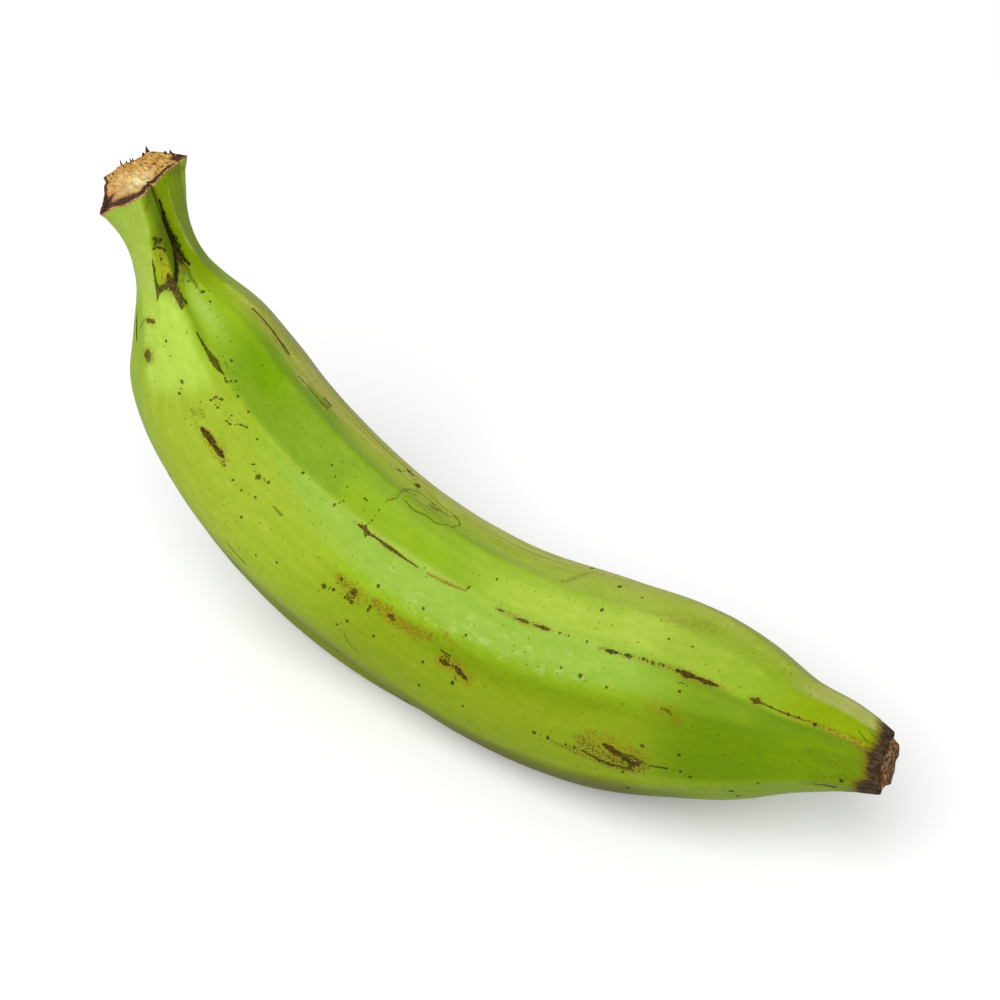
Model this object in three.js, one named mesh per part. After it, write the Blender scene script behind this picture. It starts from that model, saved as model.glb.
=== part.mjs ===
// A green plantain as it is cut from its bunch: one solid, from the cut stalk to the dried flower end.
//
// Millimetres, +Z up. The fruit lies on the outside of its bend. X runs along it, with the stalk
// raised at -X and the flower end at +X, Y runs across it, and Z = 0 is the surface it rests on.
// The origin is under the middle of its box.
//
// The skin is a loft along a centre line that bends in the XZ plane. An angle round the centre line
// is 0 degrees on the inside of the bend (the upper side), -90 towards -Y and 180 underneath.
import * as THREE from "three";

// ---- Driving dimensions ---------------------------------------------------------------------

const LENGTH = 265; // along the centre line, from the stalk's cut to the end of the skin
const STALK_CUT_TILT = 13; // degrees that the cut leans off square, lowest on the inside of the bend
const STALK_TWIST = 2; // degrees that the flattened stalk is turned on the fruit
const END_TURN = 12; // degrees that the flower end is turned towards the far side
const END_REACH = 20; // length of skin at each end over which the rings turn from square to its slant
const RIM_WIDTH = 1.1; // dried edge of skin round the cut
const RIM_DEPTH = 0.7; // from that edge down to the pith
const REST_SINK = 1.6; // how much of the belly the surface flattens
const REMNANT_LENGTH = 2; // dried flower base, past the end of the skin
const REMNANT_SHARE = 0.86; // of the skin's last radius
const CREST_ROUNDING = 1.5; // degrees

const RING_COUNT = 90;
const RING_CROWDING = 0.45; // 0 spaces the rings evenly, 1 crowds them at both ends
const STEPS_BETWEEN_RIDGES = 5;

// Distance along the centre line, its X and Z, the mean radius of the skin, and the share by which
// the section is narrower in the plane of the bend than across it.
const CENTRE_LINE = [
  [0, -102.6, 129.4, 9.2, 0.36],
  [8, -99.9, 120.4, 7.8, 0.25],
  [17, -97.6, 111.4, 7.8, 0.15],
  [25, -95.2, 103.3, 9.3, 0.08],
  [34, -91.9, 94.5, 14.0, 0],
  [42, -88.5, 86.8, 18.2, 0],
  [56, -83.6, 73.8, 22.0, 0],
  [74, -73.9, 58.4, 23.7, 0],
  [98, -55.7, 42.9, 24.4, 0],
  [126, -30.0, 31.6, 23.9, 0],
  [158, 1.3, 25.2, 25.0, 0],
  [188, 31.0, 27.8, 25.7, 0],
  [210, 52.6, 33.6, 23.7, 0],
  [228, 70.2, 36.8, 19.4, 0],
  [242, 84.1, 39.6, 13.5, 0],
  [254, 95.6, 42.5, 10.7, 0],
  [LENGTH, 106.6, 43.0, 7.4, 0],
];

// Distance along the fruit and extra depth of its underside, which puts the resting place below
// the middle of its weight.
const BELLY = [[60, 0], [95, 3.5], [125, 6], [155, 0.5], [190, -3], [225, 0]];
const BELLY_BREADTH = 0.12; // share of the section's height above its lowest point that it takes in

// The ridges, in order round the fruit. Each has its angle and its height at distances along the
// fruit, and the degrees over which it falls away. The seam is a furrow, the rest are crests.
const RIDGES = {
  nearKeel: {
    angle: [[0, -154], [LENGTH, -154]],
    rise: [[0, 2.8], [8, 0.6], [60, 1], [125, 2.4], [180, 1], [LENGTH, 0.5]],
    fall: 8,
  },
  nearSide: {
    angle: [[0, -92], [12, -108], [LENGTH, -96]],
    rise: [[0, 2], [12, 0.3], [200, 0.6], [240, 1.2], [LENGTH, 0.6]],
    fall: 12,
  },
  lobe: {
    angle: [[0, -50], [8, -55], [24, -70], [60, -62], [LENGTH, -60]],
    rise: [[0, 0.8], [14, 1.3], [28, 0.6], [45, 0.1], [LENGTH, 0]],
    fall: 14,
  },
  nearRidge: {
    angle: [[16, -44], [34, -41], [60, -31], [90, -26], [150, -22], [LENGTH, -28]],
    rise: [[14, 0], [32, 1.5], [60, 1.9], [200, 1.6], [LENGTH, 0.8]],
    fall: 14,
  },
  seam: {
    angle: [[0, -14], [14, -10], [24, -4], [60, 0], [LENGTH, 0]],
    rise: [[0, -2.2], [8, -2.6], [16, -2.4], [27, 0], [LENGTH, 0]],
    fall: 9,
  },
  farRidge: {
    angle: [[0, 14], [10, 10], [20, 13], [32, 20], [60, 24], [90, 28], [LENGTH, 28]],
    rise: [[0, -1.2], [9, 0.9], [50, 1.9], [200, 1.6], [LENGTH, 0.8]],
    fall: 14,
  },
  farShoulder: {
    angle: [[0, 70], [LENGTH, 64]],
    rise: [[0, 2.4], [12, 0.6], [24, 0.3], [LENGTH, 0.3]],
    fall: 12,
  },
  farSide: {
    angle: [[0, 108], [LENGTH, 104]],
    rise: [[0, 0.3], [60, 0.9], [LENGTH, 0.6]],
    fall: 14,
  },
  farKeel: {
    angle: [[0, 154], [LENGTH, 154]],
    rise: [[0, 0.3], [60, 1], [125, 2.4], [180, 1], [LENGTH, 0.5]],
    fall: 8,
  },
};

// ---- Shape of the skin ----------------------------------------------------------------------

// A smooth function through rows of [distance, value, ...].
function along(rows) {
  const distances = rows.map((row) => row[0]);
  const values = rows.flatMap((row) => row.slice(1));
  const curve = new THREE.CubicInterpolant(distances, values, rows[0].length - 1);
  return (distance) => [...curve.evaluate(distance)];
}

const centreLine = along(CENTRE_LINE);
const belly = along(BELLY);
const ridges = Object.values(RIDGES).map(({ angle, rise, fall }) => {
  return { angle: along(angle), rise: along(rise), fall };
});

// Centre of a section, the direction along the fruit and the direction of angle 0.
function frameAt(distance) {
  const step = 0.5;
  const [x, z] = centreLine(distance);
  const [x0, z0] = centreLine(Math.max(distance - step, 0));
  const [x1, z1] = centreLine(Math.min(distance + step, LENGTH));
  const forward = new THREE.Vector3(x1 - x0, 0, z1 - z0).normalize();
  const inward = new THREE.Vector3(-forward.z, 0, forward.x);
  return { centre: new THREE.Vector3(x, 0, z), forward, inward };
}

// Height that a ridge adds to the rounded section, turn degrees away from its crest.
function crest(turn, fall) {
  return Math.exp((CREST_ROUNDING - Math.hypot(turn, CREST_ROUNDING)) / fall);
}

// Distance from the centre line to the skin.
function skinRadius(distance, angle) {
  const [, , radius, narrowing] = centreLine(distance);
  const a = THREE.MathUtils.degToRad(angle);
  const b = THREE.MathUtils.degToRad(angle + STALK_TWIST);
  const oval = 1 / Math.hypot(Math.cos(b) / (1 - narrowing), Math.sin(b) / (1 + narrowing));
  const under = Math.exp(-(((1 + Math.cos(a)) / BELLY_BREADTH) ** 2));
  let reach = radius * oval + belly(distance)[0] * under;
  for (const ridge of ridges) {
    const turn = THREE.MathUtils.euclideanModulo(angle - ridge.angle(distance)[0] + 180, 360) - 180;
    reach += ridge.rise(distance)[0] * crest(turn, ridge.fall);
  }
  return reach;
}

// Angles of the columns of the mesh: one on each ridge, so that no crest is cut across.
function columnAngles(distance) {
  const crests = ridges.map((ridge) => ridge.angle(distance)[0]);
  return crests.flatMap((angle, i) => {
    const next = crests[i + 1] ?? crests[0] + 360;
    const step = (next - angle) / STEPS_BETWEEN_RIDGES;
    return Array.from({ length: STEPS_BETWEEN_RIDGES }, (_, k) => angle + step * k);
  });
}

const slope = (degrees) => Math.tan(THREE.MathUtils.degToRad(degrees));
const nearEnd = (distanceFromEnd) => Math.max(0, 1 - distanceFromEnd / END_REACH) ** 2;

// One ring of points. share draws it in towards the centre, lift moves it along the fruit and lumps
// makes it uneven.
function ring(distance, share = 1, lift = 0, lumps = () => 0) {
  const { centre, forward, inward } = frameAt(distance);
  const lean = slope(STALK_CUT_TILT) * nearEnd(distance);
  const turn = slope(END_TURN) * nearEnd(LENGTH - distance);
  return columnAngles(distance).map((angle) => {
    const a = THREE.MathUtils.degToRad(angle);
    const reach = skinRadius(distance, angle) * share + lumps(a);
    const up = reach * Math.cos(a);
    const across = reach * Math.sin(a);
    const point = centre.clone().addScaledVector(inward, up);
    point.addScaledVector(forward, lift + lean * up - turn * across);
    point.y += across;
    return point;
  });
}

// ---- Sections of the fruit ------------------------------------------------------------------

// The cut stalk, from the middle of the pith out to the dried rim.
function cutRings() {
  const rim = 1 - RIM_WIDTH / CENTRE_LINE[0][3];
  return [ring(0, 0.35, -0.4), ring(0, 0.7, 0), ring(0, rim - 0.04, RIM_DEPTH), ring(0, rim, 0)];
}

function skinRings() {
  return Array.from({ length: RING_COUNT + 1 }, (_, i) => {
    const t = i / RING_COUNT;
    return ring(LENGTH * (t - (RING_CROWDING * Math.sin(2 * Math.PI * t)) / (2 * Math.PI)));
  });
}

// The dried base of the flower, a lumpy plug inside the end of the skin.
function remnantRings() {
  const lumps = (a) => 0.45 * Math.sin(3 * a + 1) + 0.3 * Math.sin(5 * a);
  const dome = [[1, 0.05], [0.95, 0.5], [0.76, 0.9], [0.4, 1]]; // share of its radius and length
  return dome.map(([share, rise]) => {
    return ring(LENGTH, REMNANT_SHARE * share, REMNANT_LENGTH * rise, lumps);
  });
}

function middleOf(points) {
  return points.reduce((sum, p) => sum.add(p), new THREE.Vector3()).divideScalar(points.length);
}

// Closes a run of rings into one solid, with a point in the middle of each end.
function loft(rings) {
  const columns = rings[0].length;
  const points = [...rings.flat(), middleOf(rings[0]), middleOf(rings.at(-1))];
  const [first, last] = [points.length - 2, points.length - 1];
  const end = (rings.length - 1) * columns;
  const faces = [];
  for (let j = 0; j < columns; j++) {
    const k = (j + 1) % columns;
    faces.push(first, j, k, last, end + k, end + j);
    for (let row = 0; row < end; row += columns) {
      faces.push(row + j, row + columns + j, row + k);
      faces.push(row + k, row + columns + j, row + columns + k);
    }
  }
  return new THREE.BufferGeometry().setFromPoints(points).setIndex(faces);
}

// Stands the solid on Z = 0 with its box centred on the origin, its lowest skin pressed flat.
function settle(geometry) {
  geometry.computeBoundingBox();
  const middle = geometry.boundingBox.getCenter(new THREE.Vector3());
  geometry.translate(-middle.x, -middle.y, -geometry.boundingBox.min.z - REST_SINK);
  const place = geometry.getAttribute("position");
  for (let i = 0; i < place.count; i++) place.setZ(i, Math.max(0, place.getZ(i)));
  geometry.computeVertexNormals();
  return geometry;
}

function plantain() {
  const geometry = settle(loft([...cutRings(), ...skinRings(), ...remnantRings()]));
  const skin = new THREE.MeshStandardMaterial({ color: 0x8dbb2c, roughness: 0.42, metalness: 0 });
  const mesh = new THREE.Mesh(geometry, skin);
  mesh.name = "plantain";
  return mesh;
}

const fruit = new THREE.Group();
fruit.add(plantain());
export default fruit;
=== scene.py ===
"""The looks of a green plantain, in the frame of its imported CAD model.

Three pieces stand for the CAD solid: the skin, the cut end of the stalk and the dried flower end.
Their shape is worked out in millimetres, as the CAD model's is, and handed to Blender in metres.
s is the distance along the fruit from the cut. An angle round it is in degrees, 0 on the inside of
its bend, which is the upper side, -90 towards -Y and 180 underneath.
"""

import itertools
import math

import bpy
import numpy as np
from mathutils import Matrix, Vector


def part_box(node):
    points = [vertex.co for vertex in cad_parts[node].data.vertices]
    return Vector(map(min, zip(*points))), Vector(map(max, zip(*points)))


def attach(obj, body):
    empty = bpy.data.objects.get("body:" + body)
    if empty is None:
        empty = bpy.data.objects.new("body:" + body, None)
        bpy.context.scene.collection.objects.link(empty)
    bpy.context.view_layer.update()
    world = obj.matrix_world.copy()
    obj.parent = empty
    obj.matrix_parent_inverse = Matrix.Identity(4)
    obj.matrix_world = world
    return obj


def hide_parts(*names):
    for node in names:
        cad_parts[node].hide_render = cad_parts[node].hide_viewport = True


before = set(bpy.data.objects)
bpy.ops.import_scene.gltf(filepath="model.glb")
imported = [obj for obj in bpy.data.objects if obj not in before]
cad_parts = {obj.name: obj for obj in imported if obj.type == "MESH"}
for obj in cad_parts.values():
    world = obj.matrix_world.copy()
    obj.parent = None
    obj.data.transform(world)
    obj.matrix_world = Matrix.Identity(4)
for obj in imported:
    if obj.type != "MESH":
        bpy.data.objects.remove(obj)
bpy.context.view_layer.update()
MM = 0.001

# ---- Camera ----

CAMERA_AZIMUTH = 32  # degrees, 0 looks along +Y
CAMERA_ELEVATION = 43.5
CAMERA_DISTANCE = 0.802
CAMERA_AIM = (0.0006, -0.00016, 0.07315)
CAMERA_LENS = 120  # mm, as the sensor's width
CAMERA_SENSOR = 36


def placed(name, data):
    """A new object in the scene."""
    made = bpy.data.objects.new(name, data)
    bpy.context.scene.collection.objects.link(made)
    return made


def add_camera():
    azimuth, elevation = math.radians(CAMERA_AZIMUTH), math.radians(CAMERA_ELEVATION)
    flat = math.cos(elevation)
    back = Vector((math.sin(azimuth) * flat, -math.cos(azimuth) * flat, math.sin(elevation)))
    camera = placed("camera", bpy.data.cameras.new("camera"))
    camera.data.lens = CAMERA_LENS
    camera.data.sensor_width = CAMERA_SENSOR
    camera.location = Vector(CAMERA_AIM) + back * CAMERA_DISTANCE
    camera.rotation_euler = back.to_track_quat("Z", "Y").to_euler()
    bpy.context.scene.camera = camera


# ---- The CAD model's shape ----

LENGTH = 265
CUT_TILT = math.tan(math.radians(13))
END_TURN = math.tan(math.radians(12))
END_REACH = 20
STALK_TWIST = 2
BELLY_BREADTH = 0.12
CREST_ROUNDING = 1.5
REMNANT_LENGTH = 2
REMNANT_SHARE = 0.86

# Distance along the fruit, X and Z of its centre line, mean radius, and the share by which the
# section is narrower in the plane of the bend than across it.
CENTRE_LINE = [
    [0, -102.6, 129.4, 9.2, 0.36],
    [8, -99.9, 120.4, 7.8, 0.25],
    [17, -97.6, 111.4, 7.8, 0.15],
    [25, -95.2, 103.3, 9.3, 0.08],
    [34, -91.9, 94.5, 14.0, 0],
    [42, -88.5, 86.8, 18.2, 0],
    [56, -83.6, 73.8, 22.0, 0],
    [74, -73.9, 58.4, 23.7, 0],
    [98, -55.7, 42.9, 24.4, 0],
    [126, -30.0, 31.6, 23.9, 0],
    [158, 1.3, 25.2, 25.0, 0],
    [188, 31.0, 27.8, 25.7, 0],
    [210, 52.6, 33.6, 23.7, 0],
    [228, 70.2, 36.8, 19.4, 0],
    [242, 84.1, 39.6, 13.5, 0],
    [254, 95.6, 42.5, 10.7, 0],
    [LENGTH, 106.6, 43.0, 7.4, 0],
]
BELLY = [[60, 0], [95, 3.5], [125, 6], [155, 0.5], [190, -3], [225, 0]]

# Each ridge's angle and height along the fruit, and the degrees over which it falls away.
RIDGES = {
    "near keel": ([[0, -154], [LENGTH, -154]],
        [[0, 2.8], [8, 0.6], [60, 1], [125, 2.4], [180, 1], [LENGTH, 0.5]], 8),
    "near side": ([[0, -92], [12, -108], [LENGTH, -96]],
        [[0, 2], [12, 0.3], [200, 0.6], [240, 1.2], [LENGTH, 0.6]], 12),
    "lobe": ([[0, -50], [8, -55], [24, -70], [60, -62], [LENGTH, -60]],
        [[0, 0.8], [14, 1.3], [28, 0.6], [45, 0.1], [LENGTH, 0]], 14),
    "near ridge": ([[16, -44], [34, -41], [60, -31], [90, -26], [150, -22], [LENGTH, -28]],
        [[14, 0], [32, 1.5], [60, 1.9], [200, 1.6], [LENGTH, 0.8]], 14),
    "seam": ([[0, -14], [14, -10], [24, -4], [60, 0], [LENGTH, 0]],
        [[0, -2.2], [8, -2.6], [16, -2.4], [27, 0], [LENGTH, 0]], 9),
    "far ridge": ([[0, 14], [10, 10], [20, 13], [32, 20], [60, 24], [90, 28], [LENGTH, 28]],
        [[0, -1.2], [9, 0.9], [50, 1.9], [200, 1.6], [LENGTH, 0.8]], 14),
    "far shoulder": ([[0, 70], [LENGTH, 64]],
        [[0, 2.4], [12, 0.6], [24, 0.3], [LENGTH, 0.3]], 12),
    "far side": ([[0, 108], [LENGTH, 104]], [[0, 0.3], [60, 0.9], [LENGTH, 0.6]], 14),
    "far keel": ([[0, 154], [LENGTH, 154]],
        [[0, 0.3], [60, 1], [125, 2.4], [180, 1], [LENGTH, 0.5]], 8),
}


def along(rows, s):
    """A smooth function through rows of [distance, value, ...]."""
    rows = np.asarray(rows, float)
    at, values = rows[:, 0], rows[:, 1:]
    slopes = np.diff(values, axis=0) / np.diff(at)[:, None]
    slopes = np.vstack([slopes[:1], (slopes[1:] + slopes[:-1]) / 2, slopes[-1:]])
    s = np.clip(s, at[0], at[-1])
    i = np.clip(np.searchsorted(at, s, side="right") - 1, 0, len(at) - 2)
    step = (at[i + 1] - at[i])[..., None]
    p = (s - at[i])[..., None] / step
    start = values[i] * (2 * p**3 - 3 * p**2 + 1) + slopes[i] * step * (p**3 - 2 * p**2 + p)
    return start + values[i + 1] * (3 * p**2 - 2 * p**3) + slopes[i + 1] * step * (p**3 - p**2)


def smoothed(rows, reach):
    """The same function without the jumps in curvature at its rows."""
    fine = np.arange(-4 * reach, LENGTH + 4 * reach, 0.25)
    start, end = along(rows, np.array([0.0, 0.5])), along(rows, np.array([LENGTH - 0.5, LENGTH]))
    before, after = np.minimum(fine, 0)[:, None], np.maximum(fine - LENGTH, 0)[:, None]
    values = along(rows, fine) + before * (start[1] - start[0]) * 2 + after * (end[1] - end[0]) * 2
    weights = np.exp(-((np.arange(-3 * reach, 3 * reach + 0.1, 0.25) / reach) ** 2) / 2)
    weights /= weights.sum()
    values = [np.convolve(column, weights, "same") for column in values.T]
    return lambda s: np.stack([np.interp(s, fine, column) for column in values], -1)


centre_line = smoothed(CENTRE_LINE, 3)


def turned(angle, middle):
    """Degrees from middle to angle, the short way round."""
    return (angle - middle + 180) % 360 - 180


def ridge_angle(name, s):
    return along(RIDGES[name][0], s)[..., 0]


def skin_radius(s, angle):
    line = centre_line(s)
    radius, narrowing = line[..., 2], line[..., 3]
    a, b = np.radians(angle), np.radians(angle + STALK_TWIST)
    reach = radius / np.hypot(np.cos(b) / (1 - narrowing), np.sin(b) / (1 + narrowing))
    reach += along(BELLY, s)[..., 0] * np.exp(-(((1 + np.cos(a)) / BELLY_BREADTH) ** 2))
    for at, rise, fall in RIDGES.values():
        turn = np.hypot(turned(angle, along(at, s)[..., 0]), CREST_ROUNDING)
        reach += along(rise, s)[..., 0] * np.exp((CREST_ROUNDING - turn) / fall)
    return reach


def surface(s, angle, share=1, lift=0, rise=0):
    """Points of the skin in mm, in the centre line's own frame.

    share draws them in to the centre line, lift moves them along it and rise away from it.
    """
    s, angle = np.broadcast_arrays(np.asarray(s, float), np.asarray(angle, float))
    ends = [centre_line(s + step)[..., :2] for step in (-0.5, 0, 0.5)]
    forward = ends[2] - ends[0]
    forward /= np.linalg.norm(forward, axis=-1, keepdims=True)
    reach = skin_radius(s, angle) * share + rise
    up, across = reach * np.cos(np.radians(angle)), reach * np.sin(np.radians(angle))
    lean = CUT_TILT * np.maximum(0, 1 - s / END_REACH) ** 2
    turn = END_TURN * np.maximum(0, 1 - (LENGTH - s) / END_REACH) ** 2
    ahead = lift + lean * up - turn * across
    x = ends[1][..., 0] - forward[..., 1] * up + forward[..., 0] * ahead
    z = ends[1][..., 1] + forward[..., 0] * up + forward[..., 1] * ahead
    return np.stack([x, across, z], -1)


def offset_to_cad():
    """From the centre line's own frame to the CAD model's, found from the CAD model's box."""
    s, angle = np.meshgrid(np.linspace(0, LENGTH, 400), np.arange(-180, 180), indexing="ij")
    dome_share, dome_rise = 0.76, 0.9  # where the CAD model's flower remnant reaches furthest
    end = surface(LENGTH, angle[0], REMNANT_SHARE * dome_share, REMNANT_LENGTH * dome_rise)
    points = np.vstack([surface(s, angle).reshape(-1, 3), end])
    low, high = (np.array(corner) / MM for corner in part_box("plantain"))
    middle = (low + high) / 2 - (points.min(0) + points.max(0)) / 2
    return np.array([middle[0], middle[1], high[2] - points[:, 2].max()])


# ---- Noise and masks ----


def noise(points, seed):
    """Smooth noise from -1 to 1, with one value to a unit of length."""
    points = np.asarray(points, float)
    cell = np.floor(points).astype(np.int64)
    part = points - cell
    part = part * part * (3 - 2 * part)
    total = 0
    for corner in itertools.product((0, 1), repeat=3):
        x, y, z = np.moveaxis(cell + corner, -1, 0)
        # A number that looks random and is the same in every run.
        mixed = (x * 73856093 ^ y * 19349663 ^ z * 83492791 ^ seed * 6291469) & 0xFFFFFF
        mixed = (mixed * 48271 + 11) % 2147483647
        mixed = (mixed * 16807) % 2147483647
        weight = np.prod(np.where(corner, part, 1 - part), axis=-1)
        total = total + weight * (mixed / 1073741823.5 - 1)
    return total


def fade(value, start, end):
    """0 up to start, 1 from end on, and smooth between. start may be the higher of the two."""
    t = np.clip((np.asarray(value, float) - start) / (end - start), 0, 1)
    return t * t * (3 - 2 * t)


def between(value, low, high, soft):
    """1 between low and high, and 0 more than soft outside them."""
    return fade(value, low - soft, low) * fade(value, high + soft, high)


def hump(value, middle, spread):
    return np.exp(-(((value - middle) / spread) ** 2))


def nearest_mark(s, angle, radius, marks):
    """For each point, the way to the middle of its nearest mark and that mark's look.

    A mark is (tone, strength, [(s, angle, half its width in mm), ...]). The way is its part along
    the fruit, its part round it and its length. The look is half the width, tone and strength.
    """
    best = np.full(s.shape, np.inf)
    way, look = np.zeros((*s.shape, 3)), np.zeros((*s.shape, 3))
    for tone, strength, stops in marks:
        for (s0, a0, w0), (s1, a1, w1) in zip(stops, stops[1:] or stops):
            to_mark = np.stack([s0 - s, -turned(angle, a0) * np.pi / 180 * radius], -1)
            run = np.stack([np.full(s.shape, float(s1 - s0)), (a1 - a0) * np.pi / 180 * radius], -1)
            t = -(to_mark * run).sum(-1) / np.maximum((run * run).sum(-1), 1e-9)
            t = np.clip(t, 0, 1)
            to_mark += run * t[..., None]
            size = np.linalg.norm(to_mark, axis=-1)
            width = w0 + (w1 - w0) * t
            nearer = size - width < best
            best = np.where(nearer, size - width, best)
            way[nearer] = np.dstack([to_mark, size])[nearer]
            look[nearer, 0] = width[nearer]
            look[nearer, 1:] = tone, strength
    return way, look


# ---- Meshes ----


def spread(start, end, count, density):
    """count numbers from start to end, closer together where density is higher."""
    fine = np.linspace(start, end, 4000)
    total = np.concatenate([[0], np.cumsum(density((fine[1:] + fine[:-1]) / 2))])
    return np.interp(np.linspace(0, total[-1], count), total, fine)


def even_grid(start, row_count, column_count):
    """Rows from start to 1 by columns of angles all round."""
    angles = np.linspace(-180, 180, column_count, endpoint=False)
    return np.meshgrid(np.linspace(start, 1, row_count), angles, indexing="ij")


def straightened(s, radius, angle):
    """Points in mm of the fruit laid straight along x."""
    a = np.radians(angle)
    return np.stack([s, radius * np.cos(a), radius * np.sin(a)], -1)


def add_piece(name, rings, attributes, material):
    """A solid through rings of points in mm, closed by a point in the middle of each end."""
    count, columns = rings.shape[:2]
    ends = [rings[0].mean(0), rings[-1].mean(0)]
    points = np.vstack([rings.reshape(-1, 3), *ends]) * MM
    points[:, 2] = np.maximum(points[:, 2], 0)
    j = np.arange(columns)
    k = (j + 1) % columns
    row = (np.arange(count - 1) * columns)[:, None]
    sides = np.stack([row + j, row + columns + j, row + columns + k, row + k], -1).reshape(-1, 4)
    first, last, final_row = len(points) - 2, len(points) - 1, (count - 1) * columns
    caps = [(first, a, b) for a, b in zip(j, k)]
    caps += [(last, final_row + b, final_row + a) for a, b in zip(j, k)]
    mesh = bpy.data.meshes.new(name)
    mesh.from_pydata(points.tolist(), [], sides.tolist() + [tuple(map(int, cap)) for cap in caps])
    mesh.polygons.foreach_set("use_smooth", np.ones(len(mesh.polygons), bool))
    for label, values in attributes.items():
        vector = values.ndim == 3
        flat = values.reshape(-1, 3) if vector else values.reshape(-1)
        flat = np.concatenate([flat, flat[:1], flat[-1:]])
        made = mesh.attributes.new(label, "FLOAT_VECTOR" if vector else "FLOAT", "POINT")
        made.data.foreach_set("vector" if vector else "value", flat.astype(np.float32).ravel())
    mesh.materials.append(material)
    piece = placed(name, mesh)
    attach(piece, "root")
    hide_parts("plantain")


# ---- Materials ----


def linear(red, green, blue):
    """A colour from 0-255 display values."""
    parts = np.array([red, green, blue]) / 255
    parts = np.where(parts <= 0.04045, parts / 12.92, ((parts + 0.055) / 1.055) ** 2.4)
    return (*parts.tolist(), 1)


def grey(level):
    return level, level, level, 1


class Shader:
    """A material whose nodes are written as expressions."""

    def __init__(self, name):
        self.material = bpy.data.materials.new(name)
        self.material.use_nodes = True
        self.tree = self.material.node_tree
        self.tree.nodes.clear()

    def node(self, kind, inputs, output=0, **settings):
        made = self.tree.nodes.new("ShaderNode" + kind)
        for key, value in settings.items():
            setattr(made, key, value)
        for key, value in inputs.items():
            if isinstance(value, bpy.types.NodeSocket):
                self.tree.links.new(value, made.inputs[key])
            else:
                made.inputs[key].default_value = value
        return made.outputs[output]

    def math(self, operation, *values):
        return self.node("Math", dict(enumerate(values)), operation=operation)

    def vector_math(self, operation, *values):
        output = 1 if operation == "LENGTH" else 0
        return self.node("VectorMath", dict(enumerate(values)), output, operation=operation)

    def add(self, first, *others):
        for value in others:
            first = self.math("ADD", first, value)
        return first

    def times(self, a, b):
        return self.math("MULTIPLY", a, b)

    def number(self, label):
        return self.node("Attribute", {}, "Fac", attribute_name=label)

    def vector(self, label):
        return self.node("Attribute", {}, "Vector", attribute_name=label)

    def part(self, vector, axis):
        return self.node("SeparateXYZ", {0: vector}, axis)

    def fade(self, value, start, end):
        ends = {"Value": value, "From Min": start, "From Max": end}
        return self.node("MapRange", ends, interpolation_type="SMOOTHSTEP")

    def noise(self, at, stretch, detail, roughness=0.5, output=0):
        """Noise from 0 to 1 with one lump to each stretch, in mm along x, y and z."""
        at = self.vector_math("DIVIDE", at, stretch)
        settings = {"Vector": at, "Scale": 1, "Detail": detail, "Roughness": roughness}
        return self.node("TexNoise", settings, output)

    def mix(self, amount, a, b, blend="MIX"):
        inputs = {0: amount, 6: a, 7: b}
        return self.node("Mix", inputs, 2, data_type="RGBA", blend_type=blend)

    def ramp(self, value, colours):
        """The colour at a value, between display colours at places from 0 to 1."""
        made = self.tree.nodes.new("ShaderNodeValToRGB")
        self.tree.links.new(value, made.inputs[0])
        while len(made.color_ramp.elements) < len(colours):
            made.color_ramp.elements.new(0.5)
        for element, (at, colour) in zip(made.color_ramp.elements, colours.items()):
            element.position, element.color = at, linear(*colour)
        return made.outputs[0]

    def show(self, surface):
        output = self.tree.nodes.new("ShaderNodeOutputMaterial")
        self.tree.links.new(surface, output.inputs["Surface"])
        return self.material

    def finish(self, colour, roughness, height, gloss):
        """A glossy surface with bumps of a height in mm."""
        normal = self.node("Bump", {"Height": height, "Distance": MM, "Strength": 1})
        inputs = {"Base Color": colour, "Roughness": roughness, "Normal": normal,
                  "Specular IOR Level": gloss}
        return self.show(self.node("BsdfPrincipled", inputs))


# ---- Skin: shape ----

SKIN_ROWS = 490
SKIN_COLUMNS = 192

# The uneven edge of the cut: angle, and how far it stands beyond the CAD model's edge along the
# fruit and away from the centre line, in mm.
CUT_EDGE = [
    (-180, 1.5, 0), (-168, 1.3, 0), (-154, 0.6, -0.6), (-136, 0.3, 0.5), (-118, -0.8, -0.3),
    (-104, -1, -0.7), (-92, -0.2, 0.7), (-80, 1.2, 0), (-65, 1.2, 0), (-50, 1.5, 0.2),
    (-32, 2.1, 0), (-14, 0.7, 0), (0, 1, 0), (14, 1.6, 0.3), (40, 2.4, 0), (58, 1.9, 0),
    (68, 0.7, 0.2), (72, 0.3, 0.9), (76, 0.2, 0.2), (96, -0.4, 0), (108, 0.6, 0), (140, 0.6, 0),
    (154, 1, 0), (168, 1.3, 0),
]

# The split down the front of the stalk: distance, angle, half its width and its depth in mm.
SPLIT = [
    [(3, -3, 0.2, 0.3), (7.2, -3, 0.35, 0.9), (11.5, -3, 0.5, 1.4), (14.5, -1, 0.8, 1.6),
     (18.5, -2, 0.5, 1.2), (21.5, 0, 0.3, 0.4)],
    [(9.2, -9, 0.3, 0.5), (15, -9, 0.5, 1), (18.5, -22, 0.5, 1.2), (22.5, -39, 0.4, 0.8)],
]


def cut_edge(angle, column):
    turn, *values = np.array(CUT_EDGE).T
    return np.interp(angle, turn, values[column], period=360)


def rim_share(angle):
    """Share of the skin's radius at which the dried edge of the skin meets the pith."""
    return 0.94 - 0.05 * between(angle, -104, -40, 16)


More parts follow.
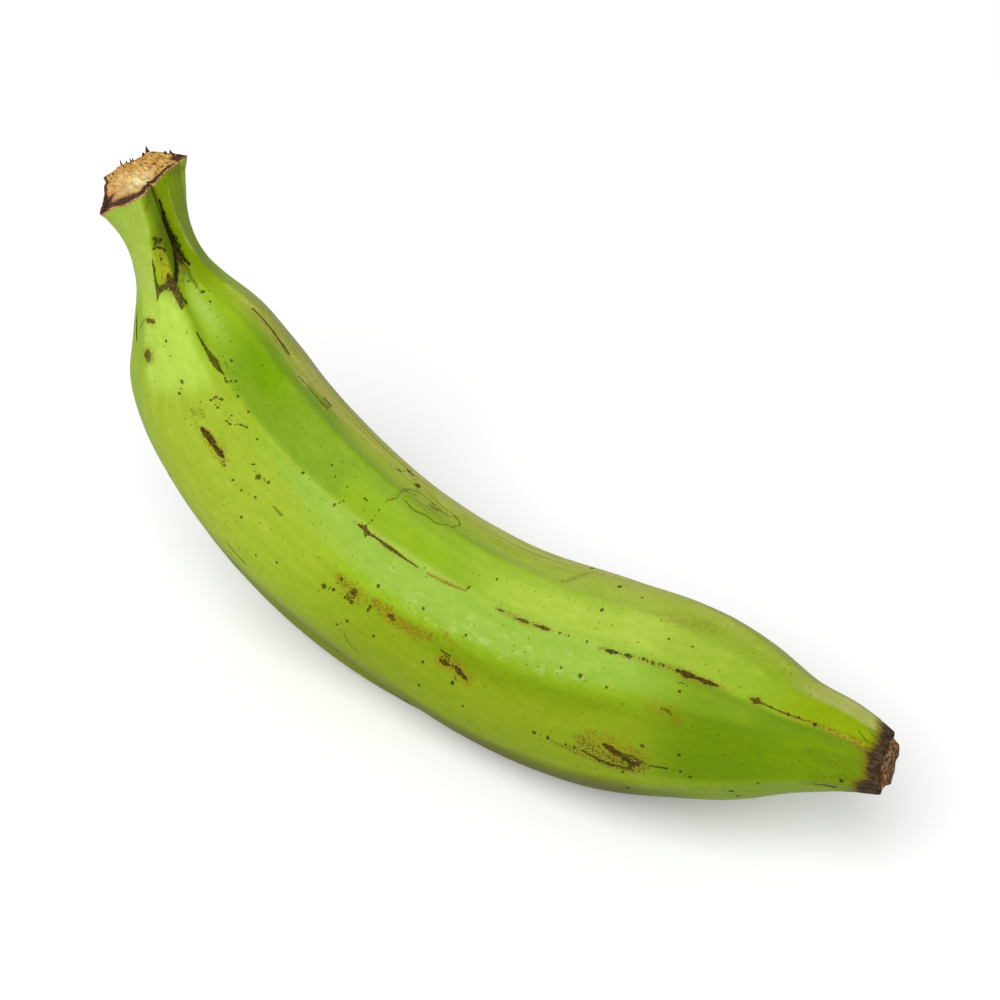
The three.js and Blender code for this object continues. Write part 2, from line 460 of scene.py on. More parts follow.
def skin_relief(s, angle, radius, straight):
    """Height in mm that the fine shape adds to the CAD model's skin."""
    whole = 1 - 0.6 * fade(s, 40, 10)
    relief = 0.2 * whole * noise(straight / [26, 11, 11], 1)
    relief += 0.07 * noise(straight / [9, 4, 4], 2)
    stalk, tip = fade(s, 34, 16), fade(s, 250, 262)
    relief += 0.16 * stalk * noise(straight / [11, 1.7, 1.7], 3)
    relief += 0.07 * stalk * noise(straight / [4, 0.9, 0.9], 4)
    relief += tip * (0.2 * noise(straight / [4, 1.5, 1.5], 5) + 0.12 * noise(straight / 0.9, 6))
    relief += fade(s, 3.5, 0) * cut_edge(angle, 1)
    for branch in SPLIT:
        at, _, width, depth = np.array(branch).T
        way, _ = nearest_mark(s, angle, radius, [(0, 1, [stop[:3] for stop in branch])])
        wide = np.interp(s, at, width) + 0.35
        relief -= np.interp(s, at, depth) * hump(way[..., 2], 0, wide)
    return relief


# ---- Skin: marks ----

# Tones of a mark, as places in a colour ramp.
BLACK, PURPLE, BROWN, RUST, ORANGE, OLIVE, TAN = 0, 0.15, 0.3, 0.4, 0.5, 0.75, 1
TONES = {BLACK: (18, 15, 4), PURPLE: (60, 40, 24), BROWN: (54, 32, 5), RUST: (92, 60, 16),
         ORANGE: (118, 88, 12), OLIVE: (88, 98, 14), TAN: (190, 184, 112)}


def dots(tone, places_by_radius):
    """Round marks, by their radius in mm, at places of distance and angle."""
    return [(tone, 0.9, [(s, angle, radius)])
            for radius, places in places_by_radius.items() for s, angle in places]


def toned(tone, marks):
    return [(tone, *mark) for mark in marks]


def hidden_marks(dot_count, streak_count):
    """Dots and rubbed streaks on the side and underside, where the photograph shows nothing."""
    random = np.random.default_rng(4)
    places = zip(random.uniform(25, 252, dot_count), random.uniform(64, 232, dot_count),
                 random.uniform(0.15, 0.45, dot_count))
    marks = [(BROWN, 0.9, [place]) for place in places]
    for _ in range(streak_count):
        s, angle = random.uniform(45, 235), random.uniform(72, 222)
        length, width, lean = random.uniform((2, 0.3, -4), (8, 0.8, 4))
        middle, end = s + 0.6 * length, s + length
        stops = [(s, angle, 0.12), (middle, angle + lean, width), (end, angle + lean, 0.1)]
        marks.append((BROWN, 0.95, stops))
    return marks


SCARS = [
    # Split of the stalk and the folds beside it: dark scar tissue, with painted shade deep in the
    # split.
    (BLACK, 1, [(4, -3, 0.1), (5.5, -3, 0.12), (7.2, -3, 0.2), (9.5, -3.5, 0.28), (11.5, -2.5, 0.3),
        (12.8, -1.5, 0.4), (14.5, -0.5, 0.55), (16.2, -0.5, 0.5), (18.5, -1.5, 0.35),
        (20, -0.5, 0.28), (21.5, 0, 0.2)]),
    (BLACK, 1, [(9.2, -9, 0.12), (11.8, -8, 0.25), (15, -9, 0.35), (16.8, -18, 0.4),
        (18.5, -23, 0.45), (20.2, -28, 0.45), (21.5, -35.5, 0.5), (22.5, -40, 0.45)]),
    (PURPLE, 1, [(14.2, -5, 0.4), (17.2, -6.5, 0.8), (19, -11, 0.9), (20, -13, 0.4)]),
    (PURPLE, 0.95, [(20.2, -48.5, 0.2), (21.2, -48.5, 0.6), (22.5, -47, 1.1), (23.4, -46, 0.9),
        (24.8, -45, 0.75), (26.4, -45, 0.6), (27.6, -45.5, 0.4), (28.6, -46, 0.15)]),
    (PURPLE, 0.95, [(22.4, -48, 0.8), (22.8, -57, 0.6), (22.9, -65, 0.8), (23.8, -69.5, 0.5),
        (25.4, -72.5, 0.1)]),
    (BLACK, 0.9, [(15.2, -64, 0.1), (17.2, -65, 0.22), (20, -67.5, 0.18), (22.2, -69, 0.25),
        (24.5, -71, 0.2)]),
    (BLACK, 0.85, [(24, -43, 0.12), (25.5, -41, 0.15), (27, -40, 0.2), (28, -38.5, 0.3)]),
    (OLIVE, 0.8, [(21.8, -7, 0.3), (23.8, -14, 0.2), (25.2, -13, 0.25), (26, -12.5, 0.1)]),
    (BROWN, 0.9, [(9.9, -52.5, 0.3), (10.7, -50, 0.35), (11.6, -54, 0.15)]),
    (BLACK, 0.85, [(12.3, -52.5, 0.15), (12.9, -49.5, 0.3), (13.6, -44, 0.12), (14.5, -41, 0.22)]),
    # Shoulder and upper body.
    (BROWN, 0.9, [(30.3, -84, 0.35), (30.3, -94, 0.4)]),
    (OLIVE, 0.8, [(30.3, -100, 0.15), (32.8, -113, 0.12)]),
    (BLACK, 0.85, [(30, -126, 0.15), (33, -127, 0.45), (36.5, -126, 0.2)]),
    (BLACK, 0.85, [(56.5, -122, 0.12), (59, -122, 0.3), (61, -121, 0.12)]),
    (BLACK, 0.85, [(66, -124, 0.2), (70, -126, 0.5), (75, -128, 0.45), (79, -130, 0.2)]),
    (BROWN, 0.95, [(34.5, -41, 0.12), (38.5, -39.5, 0.3), (41.2, -38, 0.75), (42.5, -37.5, 0.6),
        (44.5, -35.5, 0.15)]),
    (BLACK, 0.8, [(37.5, 17, 0.18), (44, 17, 0.3), (50, 16.2, 0.35), (50.6, 16, 0.1)]),
    (BLACK, 0.8, [(71, 17, 0.2), (76, 17.3, 0.25)]),
    (BROWN, 0.7, [(58, 10, 0.15), (63, 11.5, 0.2), (70, 12, 0.12)]),
    (BLACK, 0.7, [(70, 12, 0.2), (75.5, 13, 0.25)]),
    (BROWN, 1, [(57, -62.5, 0.4), (58.8, -61.3, 0.85), (60.5, -59.8, 0.75), (62, -58.6, 0.3)]),
    (BROWN, 1, [(59.8, -62.2, 0.3), (63, -60, 0.5), (65.2, -58.8, 0.85), (66.8, -58.4, 0.3)]),
    (OLIVE, 0.9, [(88, -98, 0.2), (95, -98.5, 0.25)]),
    (OLIVE, 0.8, [(88, -51, 0.15), (91, -51, 0.3), (92, -51, 0.15)]),
    (BROWN, 0.8, [(111, 25.5, 0.25), (113.5, 25.3, 0.25)]),
    # Scratched ring on the upper face.
    (OLIVE, 0.95, [(113.5, -5, 0.1), (114.8, -2.5, 0.18), (115.6, -1, 0.1)]),
    (OLIVE, 0.95, [(115.2, 1, 0.12), (114.9, 7, 0.15), (116, 13, 0.15), (118.5, 16.5, 0.17),
        (122, 17, 0.14), (126, 15.5, 0.22), (130, 14, 0.14)]),
    (OLIVE, 0.9, [(115.6, 5, 0.1), (116.6, 9, 0.13), (119, 11.5, 0.1)]),
    (OLIVE, 0.9, [(118, 0, 0.1), (121.5, -1.2, 0.14), (125.5, 0.3, 0.12), (129, 0, 0.13),
        (131.5, 1.5, 0.1)]),
    (OLIVE, 0.9, [(130.5, 17.5, 0.1), (133.2, 16, 0.17), (134.4, 12, 0.15), (133.6, 8, 0.12),
        (133.9, 4.5, 0.16), (131.6, 3.2, 0.1)]),
    (OLIVE, 0.7, [(119, 6, 0.08), (124, 8, 0.14), (129, 7.4, 0.1)]),
    (OLIVE, 0.6, [(120, 22, 0.1), (133, 18, 0.1)]),
    (BROWN, 0.8, [(123.5, 12.8, 0.2), (126.5, 12.4, 0.25)]),
    # Crest of the near ridge.
    (BROWN, 0.95, [(111.5, -25.6, 0.12), (114, -25.4, 0.4), (116, -25.6, 0.2), (119, -25.2, 0.16),
        (122, -25.3, 0.4), (125, -25.1, 0.3), (128, -25.2, 0.14), (133, -25, 0.06)]),
    (BROWN, 0.95, [(115.6, -28.4, 0.1), (114.6, -26, 0.35), (113.6, -23, 0.1)]),
    (ORANGE, 0.6, [(136, -25, 0.1), (143, -24, 0.2), (149.5, -22.4, 0.1)]),
    (BROWN, 0.8, [(163, -23.6, 0.15), (165, -23.6, 0.25)]),
    (BROWN, 0.9, [(170, -24.4, 0.12), (173.7, -24.4, 0.4), (174.5, -24.4, 0.2)]),
    (BROWN, 0.9, [(176.5, -24.6, 0.12), (180.5, -24.6, 0.4), (181.5, -24.6, 0.2)]),
    (BLACK, 0.9, [(201, -27, 0.2), (202.4, -27, 0.45), (203.8, -27, 0.2)]),
    (BLACK, 0.9, [(205.5, -27, 0.2), (206.4, -27, 0.45), (207, -27, 0.2)]),
    (BROWN, 1, [(216.8, -26.6, 0.2), (219.2, -26.6, 0.7), (221.6, -26.6, 0.25),
        (224.2, -26.6, 0.55), (227.4, -26.4, 0.12)]),
    (BROWN, 0.9, [(235.2, -25.4, 0.25), (236.3, -25.4, 0.7), (237.4, -25.4, 0.25)]),
    # Flank.
    (OLIVE, 0.9, [(124.5, -89, 0.14), (126, -93, 0.18), (128, -96.6, 0.18), (130, -96.5, 0.12)]),
    (BROWN, 0.9, [(151.5, -64, 0.3), (153, -64, 0.75), (154.5, -64, 0.3)]),
    (BROWN, 0.9, [(150.5, -58.6, 0.18), (154, -58.6, 0.18)]),
    (BROWN, 0.95, [(156.6, -63, 0.4), (157.6, -64.2, 0.75), (159.4, -65.5, 0.5), (161, -67, 0.25)]),
    (BROWN, 0.9, [(133.2, -57.5, 0.3), (134.6, -58.5, 0.35)]),
    (BROWN, 1, [(202.6, -79.5, 0.3), (204.6, -82, 0.9), (206.6, -85, 0.7), (209, -89.5, 0.7),
        (211, -90.5, 0.2)]),
    (BROWN, 0.9, [(196, -86, 0.1), (199.5, -89, 0.25), (203, -93, 0.4), (206, -93.5, 0.2),
        (209, -95, 0.3)]),
    (BROWN, 0.8, [(206, -84, 0.3), (209.5, -84.5, 0.25), (212.5, -88, 0.15)]),
    (BLACK, 0.8, [(213.8, -89.6, 0.2), (218.3, -89.6, 0.2)]),
    (BROWN, 0.6, [(215.8, -50.5, 0.15), (217.5, -50.5, 0.25), (218.6, -53, 0.15)]),
    # Flower end.
    (BROWN, 0.8, [(237.6, -25.5, 0.2), (240, -26, 0.1), (244, -26.3, 0.14), (249, -27, 0.07)]),
    (BLACK, 0.45, [(258.5, -12, 0.12), (261, -21, 0.2)]),
    (BLACK, 0.9, [(251.5, -104, 0.2), (254, -106, 0.35), (256, -110, 0.3)]),
] + dots(BLACK, {
    0.15: [(26.5, -15)],
    0.18: [(24.2, -21.5)],
    0.2: [(28, -9.5)],
    0.22: [(27.8, -13), (30.5, -11.5), (100.5, -13.5)],
    0.25: [(12.4, -57), (16, -51.5), (56, -41.5), (95, -83.7), (91, -11)],
    0.28: [(73.5, -45)],
    0.3: [(28.3, -44.5), (238.8, -100), (221.5, -90.4)],
    0.35: [(147, -71), (206, -98), (239.8, -25.4), (257.7, -91)],
    0.4: [(11.5, -42.5), (178.5, 28), (200.4, -91), (208.5, -93), (250.8, -28)],
    0.45: [(183, -82.2), (187, -82.4), (210.8, -88.6)],
    0.5: [(194, -4.8), (157, -73.2), (232, -111), (232, -124), (68.5, -113), (134, -57)],
    0.6: [(191.5, 19), (114.2, -67.5), (204.6, -115)],
    0.8: [(116.8, 20.6)],
}) + dots(BROWN, {
    0.2: [(107.5, -12), (108.7, -12)],
    0.22: [(47, -30), (113.5, -12), (94.8, -14)],
    0.25: [(43, -26), (57, -46), (110, 20.6), (103, -21), (114, -19), (212, -9.4), (217.3, -8.2),
        (188, -24.6), (195, -25)],
    0.3: [(49, -46), (50, -43), (52, -47.5), (58.4, -44.5), (59.8, -39), (61.3, -36.6), (66.3, -35),
        (82.5, -56), (50.6, -33), (57, -31.7), (78.5, -60.5), (34.7, -72), (46.4, -70.8),
        (100.3, -76), (108.7, 20.5), (156, -8.4), (149.5, -20), (185, -24.6), (156, -43.4),
        (188.7, -41.4), (203, -46), (219, -37.4), (132, -75.6), (122, -86), (161.3, -84.6),
        (192, -84), (197, -86), (209.5, -26.5), (213.8, -26.4), (200.5, 15)],
    0.35: [(46, -36), (49.4, -50), (69.3, -60.5), (74.5, -61), (43.8, -66.5), (84.8, -72),
        (140.5, -42.4), (120.5, -65), (127.5, -60), (127.5, -63), (148, -88), (194.5, -85),
        (223.8, -94), (211.5, -27), (244.5, -26), (247, -26)],
    0.4: [(81.3, -44), (86, -26), (101.5, -26), (116.8, -65), (117, -56.6), (126.5, -46.6),
        (124, -78.4), (221.3, -78), (212.3, -76)],
    0.45: [(122.4, -64.8)],
    0.5: [(195.5, -43)],
    0.7: [(78, -47)],
    0.9: [(121.8, -59)],
    1.2: [(37.8, -97.5)],
}) + hidden_marks(dot_count=60, streak_count=16)

# Soft discoloured skin.
STAINS = toned(RUST, [
    (0.6, [(51.6, -58.5, 0.5), (53.4, -59, 0.6)]),
    (0.6, [(50.6, -64.5, 0.5), (52, -64, 0.6)]),
    (0.8, [(131, -58.5, 0.8), (133.5, -56, 0.9)]),
    (0.7, [(142, -55.5, 0.9), (144, -57.5, 0.6)]),
    (0.9, [(196, -79, 1.2), (203, -85, 2.2), (210, -92, 2), (213, -90, 0.8)]),
    (0.8, [(188, -84, 0.3), (195, -88, 0.6), (202, -92, 1.1), (209, -96, 0.8)]),
    (0.5, [(10.2, -51.5, 1), (12.5, -50, 1), (14.5, -42, 0.6)]),
    (0.5, [(15, -50.5, 0.5), (17.5, -49, 0.5)]),
    (0.7, [(21.5, -48, 1.5), (23.5, -46, 1.7), (27, -45, 1.2)]),
    (0.7, [(1, -14, 0.8), (2.4, -12, 0.7), (4.5, -6, 0.5)]),
    (0.6, [(1, -36, 0.8), (2.2, -40, 0.8), (3, -48, 0.5)]),
    (0.6, [(1, 40, 0.7), (1.8, 58, 0.9), (2.2, 68, 0.9)]),
]) + toned(ORANGE, [
    (0.75, [(56.5, -63, 0.9), (60.5, -61, 1.5), (65, -59, 1.6), (68.5, -60, 0.8)]),
    (0.7, [(37.8, -97.5, 2)]),
    (0.6, [(30.3, -83, 0.9), (30.3, -95, 0.9)]),
    (0.5, [(110, -25.6, 0.4), (115, -25.4, 0.8), (122, -25.3, 0.8), (133, -25, 0.3)]),
    (0.6, [(136, -25, 0.3), (143, -24, 0.5), (149.5, -22.4, 0.3)]),
    (0.7, [(162, -23.6, 0.4), (173.7, -24.4, 0.8), (182, -24.6, 0.4)]),
    (0.6, [(199, -27, 0.4), (204.5, -27, 0.8), (208, -27, 0.7), (215, -26.6, 0.6),
        (219.5, -26.6, 1.3), (224.5, -26.6, 1), (229, -26.4, 0.3)]),
    (0.7, [(235, -25.4, 0.6), (236.5, -25.4, 1.1), (238, -25.4, 0.5)]),
    (0.9, [(128, -56, 1), (132.5, -57, 1.6), (136, -58, 1.2), (141, -57, 1.4), (146, -55, 1)]),
    (0.55, [(150, -49, 0.8), (154, -52, 1)]),
    (0.8, [(151.5, -64, 1.4), (156, -62, 1.7), (161.5, -66, 1.5)]),
    (0.8, [(116.5, -57, 1.2), (121.8, -59.5, 1.9), (123, -62, 1.4)]),
    (0.5, [(214, -50, 1.4), (218.5, -51, 1.8), (220, -55, 1)]),
    (0.7, [(199, -74, 1.2), (206, -80, 2.4), (212, -84, 1.4)]),
    (0.5, [(205, -75, 0.9), (202, -83, 1)]),
    (0.4, [(207, 5, 1.5), (213, 7, 3), (218, 12, 1.6)]),
    (0.85, [(242, -26.4, 0.3), (250, -27.5, 0.5), (256, -29, 0.8), (262, -30.5, 1.3)]),
    (0.7, [(18.5, -44, 0.5), (20, -42, 0.6)]),
    (0.8, [(20, -15, 0.7), (20.8, -13, 1), (21.8, -9, 0.6)]),
]) + toned(TAN, [
    (0.5, [(30, 17.5, 0.5), (60, 17, 0.5), (76, 17.3, 0.5), (100, 22, 0.5)]),
    (0.75, [(58, 10.6, 0.8), (62, 10.8, 0.8)]),
]) + toned(OLIVE, [
    (0.6, [(177, 5, 0.8), (179, 20, 0.8)]),
    (0.5, [(180, 24, 0.6), (183, 24.5, 0.6)]),
    (0.6, [(22, -10, 0.7), (24, -13, 0.6), (26, -13, 0.4)]),
    (0.5, [(250, -60, 1), (256, -66, 1.6), (259, -60, 1)]),
    (0.6, [(249, -100, 1.2), (255, -96, 2), (259, -80, 1.2)]),
])

# ---- Skin: tints ----

BODY_RADIUS = 24  # about the mean, to space the far strip's lines
SKIN_GREEN = linear(150, 182, 32)
TINTS = {
    "upper_face": (132, 166, 38),
    # Painted light and sheen: the top of the body towards the flower end is lighter.
    "crown_painted_sheen": (172, 197, 72),
    "lit_band": (150, 184, 66),
    "flank": (138, 158, 24),
    # Painted light: the near flank towards the stalk is lighter, as if lit from the left.
    "left_flank_painted_light": (160, 182, 50),
    # Painted shade: a dark band along the flank, below the crinkled band.
    "flank_fold_painted_shade": (112, 140, 2),
    # Painted shade: darker towards the bottom, near the floor.
    "underside": (124, 136, 4),
    "far_strip": (160, 164, 64),
    "far_pale": (176, 180, 92),
    "shoulder": (176, 204, 78),
    "shoulder_dark": (118, 150, 6),
    "shoulder_hollow": (118, 160, 0),
    "stalk_side": (168, 192, 76),
    # Painted shade: the hollow face of the stalk beside its split is darker.
    "stalk_face_painted_shade": (112, 142, 0),
    "stalk_far": (124, 148, 0),
    # Painted shade: the lower side of the flower end is darker.
    "taper": (104, 134, 0),
    "tip_glow": (142, 166, 8),
    # Painted highlight along the crest of the near ridge.
    "crest_highlight": (178, 190, 66),
    # Painted shade: darker still in the recess beside the split of the stalk.
    "recess_painted_shade": (92, 108, 2),
    "panel": (172, 180, 36),
    "hollow_light": (176, 206, 96),
    "rib_light": (176, 196, 104),
    # Painted highlight along the crest of the far ridge.
    "far_crest_highlight": (196, 194, 126),
    "midline": (134, 164, 36),
    # Painted light: the face between the seam and the far ridge is made lighter, though it is
    # turned away from the lamp.
    "far_face_painted_light": (168, 188, 60),
    # Painted shade: the lower side of the flower end is darker still.
    "tip_side_painted_shade": (122, 152, 4),
    "taper_low": (140, 164, 34),
    # Painted shade: the lower edge near where the fruit rests is darker, and darker still below it.
    "low_shade": (100, 104, 0),
    "low_deep_shade": (78, 80, 0),
    "tip_top": (126, 154, 14),
    "tip_far": (178, 178, 104),
}


def rib_angle(s):
    """Angle of the light rib beside the split of the stalk."""
    return np.interp(s, [3, 4.5, 7.8, 17, 20, 26], [27, 19.5, 13, 12, 16, 19])


def skin_tints(s, angle):
    """How much of each tint, and of the far strip's lines, the skin takes, from 0 to 1."""
    near, far, lobe = (ridge_angle(name, s) for name in ("near ridge", "far ridge", "lobe"))
    upper = between(angle, near + 3, far - 2, 5)
    beyond_far = between(angle, far - 6, 47, 13)
    return {
        "upper_face": upper * fade(s, 34, 46) * fade(s, 180, 120)
        * (1 - 0.75 * between(s, 104, 136, 9) * (1 - hump(angle, 0, 5))),
        # Painted light and sheen: the top of the body towards the flower end is lighter.
        "crown_painted_sheen": upper * fade(s, 135, 175) * fade(s, 250, 215),
        "lit_band": between(angle, -42, near - 2, 7) * fade(s, 56, 92) * fade(s, 226, 205),
        "flank": between(angle, -106, -58, 9) * fade(s, 78, 140),
        # Painted light: the near flank towards the stalk is lighter, as if lit from the left.
        "left_flank_painted_light": between(angle, -112, -42, 12) * fade(s, 36, 50) * fade(s, 130, 80),
        # Painted shade: a dark band along the flank, below the crinkled band.
        "flank_fold_painted_shade": 0.7 * hump(angle, -55, 9) * fade(s, 120, 160) * fade(s, 230, 195),
        # Painted shade: darker towards the bottom, near the floor.
        "underside": fade(angle, -98, -118) * fade(s, 60, 110) + fade(angle, 60, 100) * 0.7,
        "far_strip": beyond_far * fade(s, 26, 44) * fade(s, 262, 240)
        * (1 - 0.45 * fade(s, 170, 210)),
        "far_lines": beyond_far * fade(s, 26, 60) * fade(s, 214, 176),
        "far_pale": between(angle, far - 3, 47, 13) * fade(s, 70, 120) * fade(s, 230, 190) * 0.8,
        "shoulder": between(angle, -95, -52, 12) * between(s, 27, 42, 7),
        "shoulder_dark": 0.8 * hump(angle, -39, 4.5) * between(s, 27, 36, 5),
        "shoulder_hollow": hump(angle, -8, 14) * hump(s, 50, 12),
        "stalk_side": fade(angle, lobe + 1, lobe - 4) * fade(s, 30, 22),
        # Painted shade: the hollow face of the stalk beside its split is darker.
        "stalk_face_painted_shade": fade(angle, lobe - 3, lobe + 14) * fade(angle, 0, -8) * fade(s, 27, 19),
        "stalk_far": between(angle, -3, 60, 4) * fade(s, 34, 22),
        # Painted shade: the lower side of the flower end is darker.
        "taper": fade(s, 204, 226) * fade(angle, near + 2, near - 6)
        * (1 - 0.25 * between(angle, -44, -34, 6) * between(s, 216, 234, 8)),
        "tip_glow": fade(s, 236, 250) * between(angle, -24, 60, 10),
        # Painted highlight along the crest of the near ridge.
        "crest_highlight": 0.5 * hump(angle, near, 0.9) * fade(s, 46, 70) * fade(s, 212, 196),
        # Painted shade: darker still in the recess beside the split of the stalk.
        "recess_painted_shade": 0.85 * between(angle, -37, -17, 7) * between(s, 9, 20, 5),
        "panel": 0.8 * between(angle, -60, -44, 5) * between(s, 13.5, 20, 2.5),
        "hollow_light": 0.7 * hump(angle, -23, 9) * hump(s, 31, 6),
        "rib_light": 0.45 * hump(angle, rib_angle(s), 2.2) * fade(s, 1, 4) * fade(s, 27, 19),
        # Painted highlight along the crest of the far ridge.
        "far_crest_highlight": 0.45 * hump(angle, far + 1, 1.6) * fade(s, 50, 70) * fade(s, 220, 205),
        "midline": 0.5 * hump(angle, 0, 5) * fade(s, 84, 94) * fade(s, 212, 190),
        # Painted light: the face between the seam and the far ridge is made lighter, though it is
        # turned away from the lamp.
        "far_face_painted_light": 0.6 * between(angle, 6, far - 9, 4) * fade(s, 74, 96) * fade(s, 240, 214),
        "taper_low": 0.7 * between(angle, -145, -101, 8) * between(s, 212, 252, 9),
        # Painted shade: the lower side of the flower end is darker still.
        "tip_side_painted_shade": 0.35 * fade(angle, -34, -44) * fade(s, 232, 250),
        # Painted shade: the lower edge near where the fruit rests is darker, and darker still below
        # it.
        "low_shade": 0.7 * fade(angle, -101, -110) * between(s, 148, 196, 16),
        "low_deep_shade": 0.5 * fade(angle, -106, -120) * between(s, 164, 214, 14),
        "tip_top": 0.35 * between(angle, -24, 14, 6) * between(s, 216, 240, 10),
        "tip_far": 0.8 * fade(angle, 1, 8) * fade(angle, 78, 46) * fade(s, 236, 252),
    }


def skin_dryness(s, angle):
    """Distance in mm into the dried skin of the flower end."""
    lower, upper = between(angle, -130, -88, 10), between(angle, -62, -38, 8)
    return s - 262.6 + 2 * lower + 0.5 * upper + 1.2 * fade(angle, -5, 60)


def make_skin(offset):
    s = spread(0, LENGTH, SKIN_ROWS, lambda s: 1 + 0.9 * fade(s, 38, 26) + 0.8 * fade(s, 238, 250))
    angle = spread(-180, 180, SKIN_COLUMNS + 1, lambda a: 1 + 0.9 * between(a, -105, 30, 30))[:-1]
    s, angle = np.meshgrid(s, angle, indexing="ij")
    radius = skin_radius(s, angle)
    straight = straightened(s, radius, angle)
    relief = skin_relief(s, angle, radius, straight)
    scar_way, scar_look = nearest_mark(s, angle, radius, SCARS)
    stain_way, stain_look = nearest_mark(s, angle, radius, STAINS)
    relief -= 0.1 * scar_look[..., 2] * fade(scar_way[..., 2] - scar_look[..., 0], 0.5, 0)
    ragged = 0.7 * noise(straight / [99, 1.6, 1.6], 7) * fade(s, 259, LENGTH)
    ragged += 0.25 * noise(straight / [99, 1.3, 1.3], 8) * fade(s, 2, 0)
    ragged -= cut_edge(angle, 0) * fade(s, 7, 0)
    rings = surface(s, angle, 1, ragged, relief)

    def turned_in(row, shares_and_lifts):
        """Rings that carry the skin on inwards from its first or last row."""
        return np.array([surface(s[row], angle[row], share, lift + ragged[row], relief[row] * share)
                         for share, lift in shares_and_lifts])

    rim = rim_share(angle[0])
    cut = turned_in(0, [(0.3, 3), (rim - 0.05, 2.6), (rim, 0.5), ((1 + rim) / 2, -0.05)])
    end = turned_in(-1, [(0.93, 0.1), (0.85, -0.5), (0.7, -2.5), (0.3, -3)])
    rings = np.concatenate([cut, rings, end]) + offset
    attributes = {
        "straight": straight,
        "scar_way": scar_way, "scar_look": scar_look,
        "stain_way": stain_way, "stain_look": stain_look,
        "dryness": skin_dryness(s, angle),
        # band that takes a painted highlight and small bumps
        "crinkled_sheen": between(angle, -46, -34, 5) * between(s, 130, 190, 16),
        "rim": 0.5 - s,
    } | skin_tints(s, angle)
    for label, values in attributes.items():
        pad = [(4, 4), (0, 0)] + [(0, 0)] * (values.ndim - 2)
        attributes[label] = np.pad(values, pad, mode="edge")
    attributes["rim"][:4] = [[2], [2], [2], [1.1]]  # all rim, where it is turned in
    return rings, attributes


def marked(shader, at, colour, label, grain, fray, soft, speckle):
    """Cover from 0 to 1 of the nearest mark, and the colour with it.

    grain is the size of its ragged edge in mm, fray that edge's reach as a share of half the
    mark's width, soft the share over which it fades out, and speckle how far it breaks into dots.
    """
    way, look = shader.vector(label + "_way"), shader.vector(label + "_look")
    width = shader.part(look, 0)
    wander = shader.vector_math("SUBTRACT", shader.noise(at, (grain,) * 3, 4, 0.65, 1), (0.5,) * 3)
    reach = shader.add(shader.times(width, fray), 0.12)
    ahead, round_it = (shader.times(shader.part(wander, axis), reach) for axis in (0, 1))
    flat = shader.vector_math("ADD", way, shader.node("CombineXYZ", {0: ahead, 1: round_it}))
    distance = shader.vector_math("LENGTH", shader.vector_math("MULTIPLY", flat, (1, 1, 0)))
    share = shader.math("DIVIDE", distance, shader.add(shader.times(width, 1.1), 0.06))
    cover = shader.fade(share, 1 + soft, 1 - soft)
    beyond = shader.math("SUBTRACT", shader.part(way, 2), width)
    cover = shader.times(cover, shader.fade(beyond, 1.2 + grain, 0.8 + grain))
    gaps = shader.fade(shader.noise(at, (0.6, 0.5, 0.5), 3, 0.6), 0.48, 0.57)
    cover = shader.times(cover, shader.add(1 - speckle, shader.times(gaps, speckle)))
    cover = shader.times(cover, shader.part(look, 2))
    tone = shader.ramp(shader.part(look, 1), TONES)
    uneven = shader.fade(shader.noise(at, (1.1, 0.7, 0.7), 4, 0.6), 0.38, 0.62)
    tone = shader.mix(shader.times(uneven, 0.45), tone, (2.3, 1.6, 1.6, 1), "MULTIPLY")
    return cover, shader.mix(cover, colour, tone)


def lined(shader, at, colour):
    """The lines along the strip beyond the far ridge."""
    outward = shader.vector_math("NORMALIZE", shader.vector_math("MULTIPLY", at, (0, 1, 1)))
    distance = shader.vector_math("MULTIPLY", at, (1, 0, 0))
    even = shader.vector_math("MULTIPLY_ADD", outward, (BODY_RADIUS,) * 3, distance)
    lines = shader.noise(even, (45, 0.8, 0.8), 3)
    strip = shader.number("far_lines")
    light = shader.times(strip, shader.fade(lines, 0.56, 0.64))
    dark = shader.times(strip, shader.fade(lines, 0.44, 0.36))
    colour = shader.mix(shader.times(light, 0.6), colour, linear(186, 182, 118))
    return shader.mix(shader.times(dark, 0.55), colour, linear(116, 118, 40))


def pricked(shader, at, colour):
    """Pinpricks, at most one in each cell of a Voronoi pattern."""
    cells = {"Vector": shader.vector_math("DIVIDE", at, (1.9, 1.5, 1.5)), "Scale": 1}
    near_cell = shader.node("TexVoronoi", cells, "Distance")
    lucky = shader.part(shader.node("TexVoronoi", cells, "Color"), 0)
    pricks = shader.times(shader.fade(near_cell, 0.2, 0.08), shader.fade(lucky, 0.6, 0.85))
    return shader.mix(shader.times(pricks, 0.7), colour, linear(70, 78, 8))


def dried(shader, at, colour, fibres):
    """Cover from 0 to 1 of the dried skin of the flower end, and the colour with it."""
    grain = shader.noise(at, (4.5, 1, 1), 5, 0.6)
    edge = shader.add(shader.number("dryness"), shader.times(shader.add(grain, -0.5), 4))
    halo = shader.fade(edge, -2.6, 0.1)
    colour = shader.mix(shader.times(halo, 0.75), colour, linear(112, 88, 20))
    cover = shader.fade(edge, -0.8, 1)
    brown = shader.mix(shader.fade(fibres, 0.4, 0.75), linear(52, 40, 28), linear(96, 74, 50))
    return cover, shader.mix(cover, colour, brown)


def rimmed(shader, at, colour):
    """The dried rim of skin round the cut, lighter at its lip than on its inner face."""
    fray = shader.noise(at, (0.9, 0.7, 0.7), 4)
    edge = shader.add(shader.number("rim"), shader.times(shader.add(fray, -0.5), 0.9))
    lip = shader.mix(shader.fade(fray, 0.4, 0.6), linear(140, 92, 50), linear(206, 162, 108))
    inner = shader.mix(shader.fade(fray, 0.4, 0.62), linear(52, 32, 26), linear(102, 68, 48))
    rim = shader.mix(shader.fade(edge, 0.45, 0.75), lip, inner)
    return shader.mix(shader.fade(edge, -0.12, 0.12), colour, rim)


